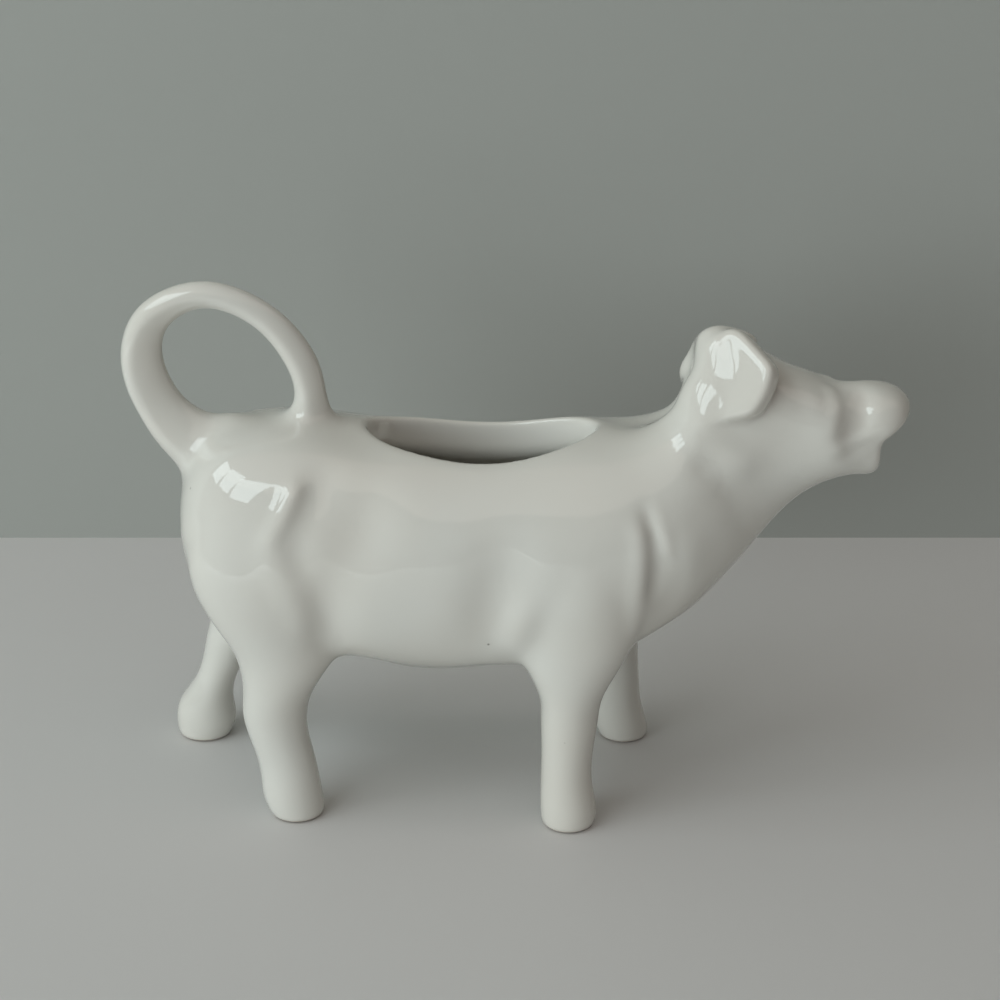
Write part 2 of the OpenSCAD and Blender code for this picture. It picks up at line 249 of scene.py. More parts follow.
# Grid of the distance fields
field_step = 0.55
field_low = np.array([-88.0, -30.8, -3.3])
field_high = np.array([88.0, 30.8, 119.9])
field_band = 12.0
tiny, never_zero = 1e-6, 1e-30
first_sample = np.round(field_low / field_step).astype(int)
sample_count = np.round((field_high - field_low) / field_step).astype(int) + 1
field_origin = first_sample * field_step
grid_x, grid_y, grid_z = np.meshgrid(
    *(start + field_step * np.arange(count, dtype=np.float32)
      for start, count in zip(field_origin, sample_count)),
    indexing="ij", sparse=True)


def spline(rows, u):
    """Smooth curve through a table of rows, at stations u."""
    rows = np.asarray(rows, float)
    last = len(rows) - 1
    matrix = np.eye(last + 1)
    for i in range(1, last):
        matrix[i, i - 1:i + 2] = 1, 4, 1
    right = np.zeros_like(rows)
    right[1:-1] = 6 * (rows[2:] - 2 * rows[1:-1] + rows[:-2])
    bend = np.linalg.solve(matrix, right)
    i = np.clip(np.floor(u).astype(int), 0, last - 1)
    t = (u - i)[:, None]
    s = 1 - t
    return s * rows[i] + t * rows[i + 1] + ((s**3 - s) * bend[i] + (t**3 - t) * bend[i + 1]) / 6


def spow(value, power):
    """Power of the size of a value, with its sign kept."""
    return np.sign(value) * np.abs(value) ** power


def field_of(rings):
    """Signed distance in millimetres from the closed skin through a stack of rings."""
    rings = np.asarray(rings)
    count, around = rings.shape[:2]
    points = np.vstack([rings.reshape(-1, 3), rings[0].mean(0), rings[-1].mean(0)])
    k, j = np.meshgrid(np.arange(count - 1), np.arange(around), indexing="ij")
    after = (j + 1) % around
    quads = np.stack([
        k * around + j, k * around + after, (k + 1) * around + after, (k + 1) * around + j,
    ], -1)
    j = np.arange(around)
    after = (j + 1) % around
    end = (count - 1) * around
    caps = np.vstack([
        np.stack([after, j, np.full(around, count * around)], -1),
        np.stack([end + j, end + after, np.full(around, count * around + 1)], -1),
    ])
    grid = vdb.FloatGrid.createLevelSetFromPolygons(
        points.astype(np.float32), triangles=caps.astype(np.uint32),
        quads=quads.reshape(-1, 4).astype(np.uint32),
        transform=vdb.createLinearTransform(voxelSize=field_step),
        halfWidth=field_band / field_step)
    out = np.empty(sample_count, np.float32)
    grid.copyToArray(out, ijk=tuple(int(i) for i in first_sample))
    return out


def smooth_min(a, b, k):
    """Union of two fields with a fillet over the distance k."""
    h = np.maximum(k - np.abs(a - b), 0) / k
    return np.minimum(a, b) - h * h * h * k / 6


def smooth_max(a, b, k):
    """What two fields share, with a rounding over the distance k."""
    return -smooth_min(-a, -b, k)


def eased(value, start, end):
    """0 before start, 1 past end, smooth between."""
    t = np.clip((value - start) / (end - start), 0, 1)
    return t * t * (3 - 2 * t)


# Body: the rungs joined from the rump to the nose
trunk_scale = np.array([trunk_length, trunk_depth, trunk_length, trunk_depth, trunk_width / 2, 1])
head_scale = np.array([head_reach, head_rise, head_reach, head_rise, head_width / 2, 1])
rungs = np.vstack([
    trunk_shares * trunk_scale + [0, belly_height, 0, belly_height, 0, 0],
    head_shares * head_scale + [neck_x, neck_z, neck_x, neck_z, 0, 0],
])
rungs[:, [0, 2]] -= centre_x
neck_station = len(trunk_shares) - 1
nose_station = len(rungs) - 1


def angles(around):
    return 2 * math.pi * np.arange(around) / around


def body_rings():
    """Trunk, neck and head: rings of a fuller oval between the top and bottom outlines."""
    rows = spline(rungs, np.linspace(0, nose_station, nose_station * body_steps + 1))
    angle = angles(body_around)
    rise, side = spow(np.cos(angle), fullness), spow(np.sin(angle), fullness)
    top, bottom = rows[:, None, 0:2], rows[:, None, 2:4]
    middle = bottom + rows[:, None, 5:6] * (top - bottom)
    reach = np.where(rise[None, :, None] > 0, top - middle, middle - bottom)
    flat = middle + rise[None, :, None] * reach
    y = side[None, :] * rows[:, None, 4]
    return np.stack([flat[..., 0], y, flat[..., 1]], -1)


def limb_rings(place, hip_place, stance, side, lean_shares, size_shares):
    """A leg: level ovals from the sole up into the body."""
    z = limb_heights
    hip_reach = trunk_width / 2 - hip_inset_share * foot_breadth
    x = place + np.array(lean_shares) * (hip_place - place) - centre_x
    y = side * (stance / 2 + np.minimum(1, z / hip_height) * (hip_reach - stance / 2))
    sizes = np.array(size_shares) * foot_breadth / 2
    stations = np.linspace(0, len(z) - 1, limb_steps * len(z) + 1)
    rows = spline(np.column_stack([x, y, z, sizes]), stations)
    angle = angles(limb_around)
    return np.stack([
        rows[:, None, 0] + rows[:, None, 3] * np.cos(angle),
        rows[:, None, 1] + rows[:, None, 4] * np.sin(angle),
        np.repeat(rows[:, None, 2], limb_around, 1),
    ], -1)


def tail_rings():
    """The tail's loop: rings along its middle line, each with a soft ridge on both edges."""
    thickening = tail_root_thickness - tail_top_thickness
    rows = tail_shares.copy()
    rows[:, 0] = tail_back + rows[:, 0] * loop_length - centre_x
    rows[:, 1] = back_height + rows[:, 1] * loop_height
    rows[:, 2] = (tail_top_thickness + rows[:, 2] * thickening) / 2
    rows = spline(rows, np.linspace(0, len(rows) - 1, tail_steps * len(rows) + 1))
    way = np.gradient(rows[:, :2], axis=0)
    way /= np.linalg.norm(way, axis=1)[:, None]
    angle = angles(tail_around)
    ridge = spline(tail_ridge_places, np.linspace(0, len(tail_ridge_places) - 1, len(rows)))
    out = rows[:, None, 2] * (
        spow(np.cos(angle), tail_ridge_power) + ridge * np.abs(np.sin(angle)) ** 2)
    return np.stack([
        rows[:, None, 0] - way[:, None, 1] * out,
        rows[:, None, 2] * np.sin(angle),
        rows[:, None, 1] + way[:, None, 0] * out,
    ], -1)


def left_ear_rings():
    """Left ear: rings from inside the head out to the tip of the flap."""
    root = ear_root_shares.copy()
    root[:, 0] *= ear_joint
    flap = ear_flap_shares.copy()
    flap[:, 0] = ear_joint + flap[:, 0] * (ear_span / 2 - ear_joint)
    rows = np.vstack([root, flap])
    rows[:, 1] = poll_x + rows[:, 1] * ear_breadth - centre_x
    rows[:, 2] *= ear_breadth
    rows[:, 3] = poll_z - rows[:, 3] * ear_drop
    rows[:, 4] *= ear_thickness * ear_slope_factor / 2
    rows = spline(rows, np.linspace(0, len(rows) - 1, ear_steps * len(rows) + 1))
    angle = angles(ear_around)
    x = rows[:, None, 1] + rows[:, None, 2] * spow(np.cos(angle), fullness)
    z = rows[:, None, 3] + rows[:, None, 4] * np.sin(angle)
    behind = np.maximum(ear_front - x, 0) / ear_breadth
    back, inward, down = ear_merging
    out = rows[:, None, 0]
    low = np.minimum(out / ear_joint, ear_merging_limit)
    return np.stack([
        x - back * behind * low,
        out * (1 - inward * behind * low),
        z - down * behind * low,
    ], -1)


def leaf_field():
    """Right ear: the outline pushed back through its thickness, with rounded edges."""
    facing = np.array(leaf_facing) / np.linalg.norm(leaf_facing)
    along = np.array([1.0, 0, 0]) - facing[0] * facing
    along /= np.linalg.norm(along)
    upward = np.cross(facing, along)
    offset = [g - c for g, c in zip((grid_x, grid_y, grid_z), leaf_place)]
    u, v, w = (
        sum(o * float(c) for o, c in zip(offset, way)) for way in (along, upward, facing))
    w = w + leaf_bend * np.maximum(-u, 0) ** 2
    field = smooth_max(w, -leaf_thickness - w, leaf_rounding)
    outline = np.array(leaf_outline)
    edge = None
    for start, end in zip(outline, np.roll(outline, -1, 0)):
        run, rise = (end - start) / np.linalg.norm(end - start)
        past = (v - start[1]) * run - (u - start[0]) * rise
        edge = past if edge is None else smooth_max(edge, past, leaf_rounding)
    return smooth_max(field, edge, leaf_rounding).astype(np.float32)


# Strokes of the modelling: spacing of their bumps and reach of each bump, in spreads
stroke_steps = 12
stroke_spacing = 0.7
stroke_reach = 3.5


def stroke(field, path, spread, height):
    """Raises the skin, or sinks it where height is negative, along a path of points."""
    path = np.asarray(path, float)
    if len(path) > 1:
        path = spline(path, np.linspace(0, len(path) - 1, stroke_steps * len(path)))
        runs = np.linalg.norm(np.diff(path, axis=0), axis=1)
        lengths = np.concatenate([[0], np.cumsum(runs)])
        count = max(2, int(lengths[-1] / (stroke_spacing * spread)) + 1)
        at = np.linspace(0, lengths[-1], count)
        path = np.stack([np.interp(at, lengths, path[:, i]) for i in range(3)], -1)
        height *= (lengths[-1] / (count - 1)) / (spread * math.sqrt(2 * math.pi))
    for centre in path:
        reach = stroke_reach * spread
        low = np.floor((centre - reach - field_origin) / field_step).astype(int)
        high = np.ceil((centre + reach - field_origin) / field_step).astype(int) + 1
        low, high = np.maximum(low, 0), np.minimum(high, sample_count)
        window = tuple(slice(a, b) for a, b in zip(low, high))
        falls = [
            np.exp(-0.5 * ((g.ravel()[s] - c) / spread) ** 2)
            for g, s, c in zip((grid_x, grid_y, grid_z), window, centre)
        ]
        fall_x, fall_y, fall_z = np.ix_(*falls)
        field[window] -= height * (fall_x * fall_y * fall_z)


def softened(field, passes=1):
    """Field averaged with its neighbours."""
    for _ in range(passes):
        for axis in range(3):
            a = np.moveaxis(field, axis, 0)
            b = a.copy()
            b[1:-1] = 0.25 * a[:-2] + 0.5 * a[1:-1] + 0.25 * a[2:]
            field = np.moveaxis(b, 0, axis)
    return np.ascontiguousarray(field)


# Modelling of the skin beyond the lofts: which side ("both" as mirror images,
# "right", "left" or "middle"), spread, height, path of points.
# Points are given on the right side, where y is below zero.
forms = [
    # Haunch: crisp front ridge, its softer run down the thigh, and the hollow ahead of it
    ("both", 1.25, 1.1, [(-44.8, -19.6, 77.4), (-46.4, -21.8, 74), (-48.6, -23.4, 70),
                         (-50.5, -24.4, 66.5)]),
    ("both", 2.4, 0.8, [(-50.5, -24.6, 66.5), (-48.5, -25.5, 60.5), (-45, -25.8, 53.5),
                        (-43, -25, 46)]),
    ("both", 2.4, -0.7, [(-40, -18.5, 79.5), (-41.5, -21, 75), (-43.5, -22.8, 70),
                         (-44.5, -24.4, 63)]),
    ("both", 3.2, -0.9, [(-38.2, -17.5, 79), (-38.6, -20.5, 74.5), (-40, -22.5, 69.5)]),
    ("both", 5.0, -2.2, [(-31.2, -20.3, 73.5), (-32, -22.8, 67.5)]),
    ("both", 4.6, -0.8, [(-37, -24, 62), (-38, -25.5, 54)]),
    ("both", 3.8, -1.4, [(-39, -25.2, 53), (-38, -24, 44)]),
    # Back of the thigh thinner low down
    ("both", 5.0, -2.3, [(-66, -17, 50.5), (-63.5, -17.5, 46.5), (-61, -18, 42),
                         (-57.5, -18, 37.5)]),
    # Rump under the tail, and the back behind and ahead of the opening
    ("middle", 2.8, 2.0, [(-63.5, 0, 86.5), (-59.5, 0, 86.8)]),
    ("middle", 5.0, -0.5, [(-53, 0, 88)]),
    ("middle", 6.0, -0.9, [(-38, 0, 87.5), (-31, 0, 86.5)]),
    ("both", 5.0, -1.2, [(-39, -8.5, 86), (-33, -9, 85), (-27, -9.5, 84.5)]),
    ("both", 5.0, -0.9, [(16, -8, 86), (22, -7, 87)]),
    # Shoulder: proud of the chest, which falls away from a short crease
    ("both", 1.4, 0.7, [(26.4, -22.2, 70), (26.8, -23.2, 65), (26.6, -23.4, 59), (26.2, -22.8, 53),
                        (25.6, -21.5, 47)]),
    ("both", 1.5, -1.1, [(28.2, -20.4, 73.5), (29.2, -21.4, 69), (30, -22, 64.5), (30, -22, 60),
                         (29.6, -21.5, 55)]),
    ("both", 3.4, -1.3, [(33, -21.5, 61), (33, -20.5, 55), (31.5, -19.5, 50)]),
    ("both", 1.0, 0.6, [(29.2, -20, 74.4), (30.6, -20.9, 70.5), (31.9, -21.6, 66.5),
                        (32.6, -21.8, 64)]),
    ("both", 3.0, 0.7, [(37, -20.5, 66), (36.5, -20, 60)]),
    # Chest drawn up between the legs, and the elbow with the hollow behind it
    ("both", 4.5, -2.2, [(30, -9, 37.5), (34, -8, 39.5), (27, -9, 35.5)]),
    ("both", 5.0, -1.9, [(-1, -24.5, 64), (-3, -25, 55), (-4.5, -24.5, 47)]),
    ("both", 2.4, 1.1, [(3, -24.8, 52), (1.6, -24.4, 47), (0.6, -23.2, 42.6)]),
    # Belly drawn up beside the legs
    ("both", 4.2, -2.2, [(-38, -13, 35.5), (-35, -12, 34.5), (-30, -12, 34)]),
    ("both", 4.2, -0.9, [(-1, -12, 33.5), (-6, -12, 33.3)]),
    # Neck under the ear, and the cheek drawn in toward the muzzle
    ("both", 2.4, -0.9, [(39.5, -14.4, 82)]),
    ("both", 3.0, 0.7, [(47.5, -13, 81.5)]),
    ("both", 5.5, -0.8, [(60, -12, 88), (56.5, -12.5, 82)]),
    # Poll and nape: thinner behind the ears, and filled beside the leaf
    ("middle", 4.2, -1.4, [(36.8, 0, 99), (34.6, 0, 95), (30.2, 0, 90.5), (24, 0, 88.5)]),
    ("middle", 4.6, -1.6, [(34, 2, 91), (30.5, 2, 88.3), (26, 2, 87.3)]),
    ("middle", 5.0, -2.0, [(32, 6, 88.5), (28, 6, 87), (23, 6, 86.5)]),
    ("right", 3.0, 1.6, [(32.5, -3.5, 90), (34.8, -4.5, 93.4), (36.8, -4.5, 96.8)]),
    ("right", 3.0, 0.8, [(38.4, -14.3, 83.5), (40.2, -14.4, 86), (42.2, -14.6, 88.3)]),
    ("right", 2.2, 0.7, [(27.5, -2.5, 87.3), (30, -2.5, 88), (32.5, -2.5, 89.8)]),
    ("middle", 2.0, 0.8, [(38.3, -1.5, 101), (38.8, -1, 102.5)]),
    ("middle", 1.8, 0.6, [(40.6, 0, 105), (43.5, 0, 106)]),
    ("middle", 1.8, 0.7, [(43.6, -2, 106.6), (44.6, -2.3, 106.8)]),
    ("middle", 2.0, 1.0, [(42.6, -2.4, 106), (41.6, -4, 103.5)]),
    ("left", 2.6, -2.2, [(49.5, -5, 105.5), (51.5, -7, 104.5), (53, -9.5, 102.5)]),
    ("left", 3.0, 1.6, [(36.5, -9.5, 92.5), (34.5, -7.5, 90.5)]),
    # Brow, and the valley between it and the muzzle
    ("both", 1.2, 0.7, [(66, -3.5, 95.8), (67, -6.6, 93.1), (67, -9.2, 90.3), (66.3, -10.6, 87.8)]),
    ("both", 1.9, -1.3, [(71.9, -3.5, 94.3), (72.4, -6.4, 92.4), (72.4, -8, 90.2),
                         (71.3, -9.3, 87.8), (69.2, -10.3, 86)]),
    ("both", 1.2, 0.4, [(75, -7.2, 92.8), (74.8, -8.6, 89.6)]),
    # Lip, with the shade under it
    ("both", 1.1, 0.5, [(67.5, -10.8, 84.2), (69.8, -10.2, 84.1), (72, -9.4, 85.2),
                        (74.6, -8.8, 86.6)]),
    ("both", 1.1, -0.7, [(69.3, -10.1, 82.3), (71.4, -9.5, 82.9), (74.1, -8.9, 84.2)]),
    ("both", 1.7, -1.1, [(76.4, -8.2, 83.6), (77, -6.5, 82.4)]),
]


def outer_field(body):
    """Skin of the whole cow, before it is hollowed."""
    field = body
    for name, limb in limbs.items():
        low_fillet, start, end = limb_fillets[name.split("_")[0]]
        fillet = low_fillet + (hip_fillet - low_fillet) * eased(grid_z, start, end)
        field = smooth_min(field, field_of(limb_rings(*limb)), fillet)
    field = smooth_min(field, field_of(tail_rings()), tail_fillet)
    behind = 1 - eased(grid_x, ear_back_end, ear_back_start)
    below = 1 - eased(grid_z, leaf_back_low, leaf_back_high)
    left_ear = field_of(left_ear_rings())
    field = smooth_min(field, left_ear, ear_fillet + left_ear_back_fillet * behind)
    field = smooth_min(field, leaf_field(), ear_fillet + leaf_back_fillet * behind * below)
    sides = {"both": (1, -1), "right": (1,), "left": (-1,), "middle": (1,)}
    for which, spread, height, path in forms:
        for side in sides[which]:
            stroke(field, np.array(path) * (1, side, 1), spread, height)
    return field


def cavity_field(body, outer):
    """Space inside the wall, with the filler opening cut down through the back."""
    hollow = smooth_max(body + wall, outer + least_wall, least_wall_rounding)
    end = spline(rungs, np.array([neck_station + hollow_end_station]))[0]
    along = np.array([end[0] - end[2], end[1] - end[3]])
    along /= np.linalg.norm(along)
    past = (grid_x - end[2]) * along[1] - (grid_z - end[3]) * along[0]
    hollow = smooth_max(hollow, past, hollow_end_rounding)
    half_length, half_width = opening_length / 2 - lip_roll, opening_width / 2 - lip_roll
    x = grid_x - (opening_place + opening_shift - centre_x)
    ratio = np.sqrt((x / half_length) ** 2 + (grid_y / half_width) ** 2) + tiny
    slope = np.sqrt((x / half_length**2) ** 2 + (grid_y / half_width**2) ** 2) / ratio + tiny
    outward = (ratio - 1) / slope
    outward = outward + opening_flare * eased(-body, flare_start, flare_end)
    prism = smooth_max(outward, belly_height + trunk_depth / 2 - grid_z, prism_rounding)
    high = eased(grid_z, collar_low, collar_high)
    collar = collar_depth * high * np.exp(-(np.maximum(outward, 0) / collar_reach) ** 2)
    return smooth_min(hollow + collar, prism.astype(np.float32), opening_fillet)


def passage_rings():
    """Milk passage from the hollow of the head out through the mouth."""
    start = spline(rungs, np.array([neck_station + passage_start_station]))[0]
    rows = [[(start[0] + start[2]) / 2, (start[1] + start[3]) / 2, mouth_height, mouth_width / 2]]
    for reach, rise, height, width in passage_shares:
        overrun = 0 if reach < 1 else passage_overrun
        rows.append([neck_x + reach * head_reach + overrun - centre_x,
                     neck_z + rise * head_rise, height * mouth_height / 2, width * mouth_width / 2])
    rows = spline(rows, np.linspace(0, len(rows) - 1, passage_steps + 1))
    angle = angles(passage_around)
    return np.stack([
        np.repeat(rows[:, None, 0], passage_around, 1),
        rows[:, None, 3] * np.sin(angle),
        rows[:, None, 1] + rows[:, None, 2] * np.cos(angle),
    ], -1)


def mouth_field():
    """Space in front of the lower lip, under the slope of the muzzle."""
    run, rise = lip_slope
    below = (grid_z - lip_place[1]) * run - (grid_x - lip_place[0]) * rise
    return smooth_max(below / math.hypot(run, rise), lip_place[0] - grid_x, mouth_rounding)


def surface_of(field):
    """Vertices in millimetres and quads of the zero level of a field."""
    inside = field < 0
    corners = np.zeros(tuple(n - 1 for n in field.shape), np.uint8)
    for corner in np.ndindex(2, 2, 2):
        corners += inside[tuple(slice(d, n - 1 + d) for d, n in zip(corner, field.shape))]
    crossed = (corners > 0) & (corners < 8)
    number = np.full(corners.shape, -1, np.int32)
    cells = np.argwhere(crossed)
    number[crossed] = np.arange(len(cells))
    total, hits = np.zeros((len(cells), 3)), np.zeros(len(cells))
    quads = []
    for axis in range(3):
        others = [k for k in range(3) if k != axis]
        for side in np.ndindex(2, 2):
            start = cells.copy()
            start[:, others] += side
            end = start.copy()
            end[:, axis] += 1
            f0, f1 = field[tuple(start.T)], field[tuple(end.T)]
            cut = (f0 < 0) != (f1 < 0)
            point = start.astype(float)
            point[cut, axis] += (f0 / (f0 - f1 + never_zero))[cut]
            total[cut] += point[cut]
            hits[cut] += 1
        low = [slice(1, n - 1) for n in field.shape]
        low[axis] = slice(0, field.shape[axis] - 1)
        high = list(low)
        high[axis] = slice(1, field.shape[axis])
        start_in = inside[tuple(low)]
        edges = np.argwhere(start_in != inside[tuple(high)])
        flip = start_in[tuple(edges.T)]
        edges[:, others] += 1
        if axis == 1:
            flip = ~flip
        ring = []
        for around_edge in ((-1, -1), (0, -1), (0, 0), (-1, 0)):
            cell = edges.copy()
            cell[:, others] += around_edge
            ring.append(number[tuple(cell.T)])
        ring = np.stack(ring, 1)
        ring[~flip] = ring[~flip][:, ::-1]
        quads.append(ring)
    return field_origin + field_step * (total / hits[:, None]), np.vstack(quads)


def sampled(field, points):
    """Field and its gradient at points, by trilinear interpolation."""
    at = (points - field_origin) / field_step
    cell = np.clip(np.floor(at).astype(int), 0, np.array(field.shape) - 2)
    t = at - cell
    value = np.zeros(len(points))
    slope = np.zeros((len(points), 3))
    for corner in np.ndindex(2, 2, 2):
        f = field[tuple((cell + corner).T)]
        w = [t[:, k] if d else 1 - t[:, k] for k, d in enumerate(corner)]
        s = [1 if d else -1 for d in corner]
        value += f * w[0] * w[1] * w[2]
        slope[:, 0] += f * s[0] * w[1] * w[2]
        slope[:, 1] += f * w[0] * s[1] * w[2]
        slope[:, 2] += f * w[0] * w[1] * s[2]
    return value, slope / field_step


# Evening of the mesh: rounds, share of the way to the neighbours' mean, and pulls to the surface
evening_rounds = 3
evening_share = 0.6
evening_pulls = 2
least_slope = 0.1


def evened(points, quads, field):
    """Spreads the vertices evenly over the surface, which they stay on."""
    count = len(points)
    pairs = np.vstack([quads[:, [i, (i + 1) % 4]] for i in range(4)])
    pairs = np.vstack([pairs, pairs[:, ::-1]])
    degree = np.bincount(pairs[:, 0], minlength=count)[:, None]
    for _ in range(evening_rounds):
        sums = [np.bincount(pairs[:, 0], points[pairs[:, 1], k], count) for k in range(3)]
        points = points + evening_share * (np.stack(sums, -1) / degree - points)
        for _ in range(evening_pulls):
            value, slope = sampled(field, points)
            length = np.maximum((slope**2).sum(1), least_slope)[:, None]
            points = points - np.clip(value[:, None] * slope / length, -field_step, field_step)
    return points


body = field_of(body_rings())
outer = outer_field(body)
skin = smooth_max(outer, -mouth_field(), mouth_edge)
skin = smooth_max(skin, -cavity_field(body, outer), opening_edge)
skin = smooth_max(skin, -field_of(passage_rings()), passage_edge)
skin = softened(skin, skin_softening)
skin = smooth_max(skin, -grid_z, sole_edge)
points, quads = surface_of(skin)
points = evened(points, quads, skin)

# Joints of the castings: what each plane passes through, and which way it faces. The ears' planes
# are tilted, so that they pass clear of the cheek and the neck.
tail_joint_z = back_height + tail_joint_height
neck_joint = rungs[neck_station]
neck_foot = np.array([neck_joint[2], 0, neck_joint[3]])
neck_up = np.array([neck_joint[0] - neck_joint[2], 0, neck_joint[1] - neck_joint[3]])
neck_ahead = np.array([neck_up[2], 0, -neck_up[0]]) / np.linalg.norm(neck_up)
ear_region_low, ear_region_high = np.array([32.0, 83.5]), np.array([60.0, 109.0])
left_seam_height, left_seam_tilt = 92.0, 0.15
right_seam_height, right_seam_tilt = 93.0, 0.4
tail_region_end = -28.0
neck_region_start = 20.0
leg_region_margin = 3.0
cut_tolerance = 0.02
rim_tolerance = 0.05
upright = np.array([0.0, 0, 1])


def ear_seam(side, height, tilt):
    """Plane that cuts an ear off: a point of it and the way it faces."""
    place = np.array([0, side * ear_joint, height])
    return place, np.array([0.0, side, tilt]) / math.hypot(1, tilt)


def in_ear_region(p):
    return ((p[:, [0, 2]] > ear_region_low) & (p[:, [0, 2]] < ear_region_high)).all(1)


left_seam = ear_seam(1, left_seam_height, left_seam_tilt)
right_seam = ear_seam(-1, right_seam_height, right_seam_tilt)
joints = [
    (neck_foot, neck_ahead, lambda p: p[:, 0] > neck_region_start),
    (leg_joint_height * upright, upright, lambda p: p[:, 2] < leg_joint_height + leg_region_margin),
    (tail_joint_z * upright, upright, lambda p: p[:, 0] < tail_region_end),
    (*left_seam, in_ear_region),
    (*right_seam, in_ear_region),
]
castings = ["trunk_shell", "head_shell", "tail_handle", "left_ear", "right_ear",
            "front_left_leg", "front_right_leg", "rear_left_leg", "rear_right_leg"]


def casting_of(p):
    """Which casting each point belongs to, as a number in castings."""
    number = np.where((p - neck_foot) @ neck_ahead > 0, 1, 0)
    number[(p[:, 0] < tail_region_end) & (p[:, 2] > tail_joint_z)] = 2
    for index, (place, way) in ((3, left_seam), (4, right_seam)):
        number[in_ear_region(p) & ((p - place) @ way > 0)] = index
    low = p[:, 2] < leg_joint_height
    front, left = p[low, 0] > 0, p[low, 1] > 0
    number[low] = np.where(front, np.where(left, 5, 6), np.where(left, 7, 8))
    return number


def centres(bm):
    return np.array([f.calc_center_median()[:] for f in bm.faces])


def cut_at_joints(points, quads):
    """The whole skin with an edge along every joint: vertices, faces and number of the casting."""
    whole = bpy.data.meshes.new("whole")
    whole.from_pydata(points.tolist(), [], quads.tolist())
    bm = bmesh.new()
    bm.from_mesh(whole)
    bpy.data.meshes.remove(whole)
    for place, way, region in joints:
        bm.faces.ensure_lookup_table()
        near = region(centres(bm))
        faces = [f for f, n in zip(bm.faces, near) if n]
        edges = list({e for f in faces for e in f.edges})
        corners = list({v for f in faces for v in f.verts})
        bmesh.ops.bisect_plane(
            bm, geom=faces + edges + corners, dist=cut_tolerance, plane_co=place, plane_no=way)
    bm.verts.index_update()
    vertices = np.array([v.co[:] for v in bm.verts])
    faces = [[v.index for v in f.verts] for f in bm.faces]
    number = casting_of(centres(bm))
    bm.free()
    return vertices, faces, number


def capped(vertices, faces, normals, bend):
    """A casting's mesh: its part of the skin, closed by a flat cap at each joint."""
    used = sorted({i for f in faces for i in f})
    at = {old: new for new, old in enumerate(used)}
    mesh = bpy.data.meshes.new("casting")
    mesh.from_pydata((vertices[used] * MM).tolist(), [], [[at[i] for i in f] for f in faces])
    skin_faces = len(mesh.polygons)
    bm = bmesh.new()
    bm.from_mesh(mesh)
    open_edges = [e for e in bm.edges if len(e.link_faces) == 1]
    for place, way, _ in joints:
        rim = [e for e in open_edges
               if all(abs((np.array(v.co) / MM - place) @ way) < rim_tolerance for v in e.verts)]
        if rim:
            bmesh.ops.triangle_fill(bm, edges=rim, use_beauty=True, normal=Vector(way))
    bm.faces.ensure_lookup_table()
    bmesh.ops.recalc_face_normals(bm, faces=bm.faces[skin_faces:])
    bm.to_mesh(mesh)
    bm.free()
    smooth = np.zeros(len(mesh.polygons), bool)
    smooth[:skin_faces] = True
    mesh.polygons.foreach_set("use_smooth", smooth)
    corner = np.empty(len(mesh.loops), int)
    mesh.loops.foreach_get("vertex_index", corner)
    sides = np.empty(len(mesh.polygons), int)
    mesh.polygons.foreach_get("loop_total", sides)
    flat = np.empty(len(mesh.polygons) * 3)
    mesh.polygons.foreach_get("normal", flat)
    of_face = np.repeat(np.arange(len(sides)), sides)
    loop_normals = np.where(
        smooth[of_face][:, None], normals[used][corner], flat.reshape(-1, 3)[of_face])
    mesh.normals_split_custom_set(loop_normals.tolist())
    mesh.attributes.new("bend", "FLOAT", "POINT").data.foreach_set("value", bend[used])
    return mesh


# Glaze: colours, scales of its patterns per metre, and the limits between which each one fades
glaze_white = (0.705, 0.695, 0.645)
glaze_warm = (0.695, 0.67, 0.61)
glaze_pooled = (0.60, 0.57, 0.52)
glaze_thin = (0.74, 0.71, 0.65)
speck_colour = (0.10, 0.08, 0.06)
# Bare clay of the unglazed feet, darker than the glaze; its darkness is also painted contact shade
# where the feet meet the floor
bare_clay_and_contact_shade = (0.52, 0.45, 0.38)
drift_scale, wave_scale, grain_scale, speck_scale = 22.0, 150.0, 900.0, 62.0
speck_radii = (0.012, 0.026)
speck_picks = (0.60, 0.70)
speck_share = 0.8
sole_heights = (0.0004, 0.0009)
warm_drift = (0.35, 0.65)
pooled_bend, pooled_share = (-0.03, -0.45), 0.75
thin_bend, thin_share = (0.20, 0.90), 0.5
gloss_drift = (0.3, 0.7)
glaze_roughness = (0.035, 0.06)
glaze_ior, coat_weight, coat_roughness = 1.6, 0.6, 0.03
wave_height = 25.0
relief_distance = 0.0000015
bend_limit = 2.0


